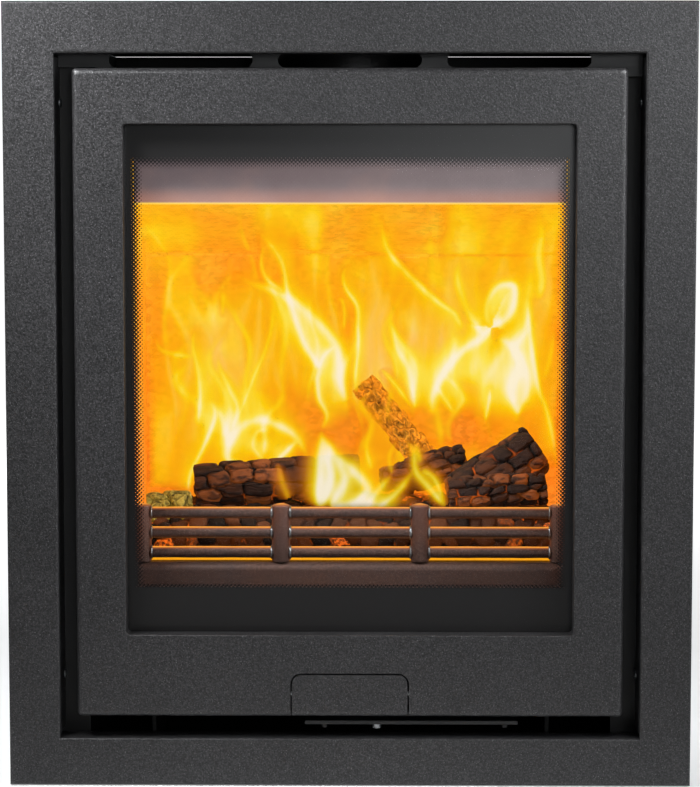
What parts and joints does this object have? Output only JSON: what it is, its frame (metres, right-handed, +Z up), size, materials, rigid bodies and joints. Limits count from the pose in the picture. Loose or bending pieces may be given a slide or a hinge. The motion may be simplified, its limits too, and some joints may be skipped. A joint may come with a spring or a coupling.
{
  "type": "inset wood burning stove",
  "caption": "Inset wood-burning stove with a flush steel surround, a glazed hinged door with a flap handle, a brick-lined firebox, a log guard, an air slide and a sheet casing.",
  "frame": {"origin": "bottom centre of the bounding box, on the hearth", "axes": "+X to the right seen from the front, +Y into the wall, +Z up; the door faces -Y"},
  "size_m": [0.514, 0.287, 0.588],
  "materials": {
    "powder_coat": "fine metallic powder coat",
    "black_steel": "matt black",
    "zinc_sheet": "galvanised",
    "heat_steel": "heat-stained",
    "cast_iron": "rough",
    "fire_brick": "matt",
    "stove_glass": "clear with a dark printed border",
    "rope_fibre": "knitted",
    "bolt_steel": "plated",
    "charred_wood": "charred",
    "bark_wood": "bark",
    "ember": "glowing"
  },
  "bodies": {
    "root": {"surround_frame": "powder_coat", "convection_outlet_strip": "black_steel", "firebox_front": "black_steel", "air_box": "black_steel", "casing_left": "zinc_sheet", "casing_right": "zinc_sheet", "casing_back": "zinc_sheet", "casing_top": "zinc_sheet", "casing_base": "zinc_sheet", "cradle": "zinc_sheet", "ash_pan": "zinc_sheet", "firebox_left": "heat_steel", "firebox_right": "heat_steel", "firebox_back": "heat_steel", "firebox_top": "heat_steel", "firebox_base": "heat_steel", "airwash_deflector": "heat_steel", "flue_collar": "cast_iron", "flue_flange": "cast_iron", "hearth_plate": "cast_iron", "grate": "cast_iron", "brick_left": "fire_brick", "brick_right": "fire_brick", "brick_rear_lower": "fire_brick", "brick_rear_upper": "fire_brick", "baffle": "fire_brick", "frame_screw_left_lower": "bolt_steel", "frame_screw_left_upper": "bolt_steel", "frame_screw_right_lower": "bolt_steel", "frame_screw_right_upper": "bolt_steel", "levelling_foot_1": "bolt_steel", "levelling_foot_2": "bolt_steel", "levelling_foot_3": "bolt_steel", "levelling_foot_4": "bolt_steel", "latch_keeper": "bolt_steel", "hinge_bracket_lower": "bolt_steel", "hinge_bracket_upper": "bolt_steel", "log_left": "charred_wood", "log_right": "charred_wood", "log_end": "bark_wood", "ember_bed": "ember"},
    "door": {"door_frame": "powder_coat", "door_liner": "black_steel", "door_glass": "stove_glass", "glass_gasket": "rope_fibre", "glass_retainer": "black_steel", "door_seal": "rope_fibre", "handle_pin": "bolt_steel"},
    "handle": {"handle_flap": "powder_coat", "latch_hook": "bolt_steel"},
    "air_control": {"air_slider": "black_steel", "air_slider_knob": "bolt_steel"},
    "log_guard": {"guard_base": "cast_iron", "guard_post_1": "cast_iron", "guard_post_2": "cast_iron", "guard_post_3": "cast_iron", "guard_post_4": "cast_iron", "guard_rail_1": "cast_iron", "guard_rail_2": "cast_iron", "guard_rail_3": "cast_iron"}
  },
  "joints": [
    {"name": "door_swing", "type": "hinge", "parent": "root", "child": "door", "pos_m": [-0.1955, -0.1245, 0.3], "axis": [0, 0, -1], "range_deg": [0, 95]},
    {"name": "handle_pull", "type": "hinge", "parent": "door", "child": "handle", "pos_m": [0, -0.1395, 0.07], "axis": [-1, 0, 0], "range_deg": [0, 16], "stiffness_Nm_per_rad": 0.5, "springref_deg": -8.59},
    {"name": "air_slide", "type": "slide", "parent": "root", "child": "air_control", "axis": [1, 0, 0], "range_m": [-0.028, 0]},
    {"name": "guard_lift", "type": "slide", "parent": "root", "child": "log_guard", "axis": [0, 0, 1], "range_m": [0, 0.035]}
  ]
}
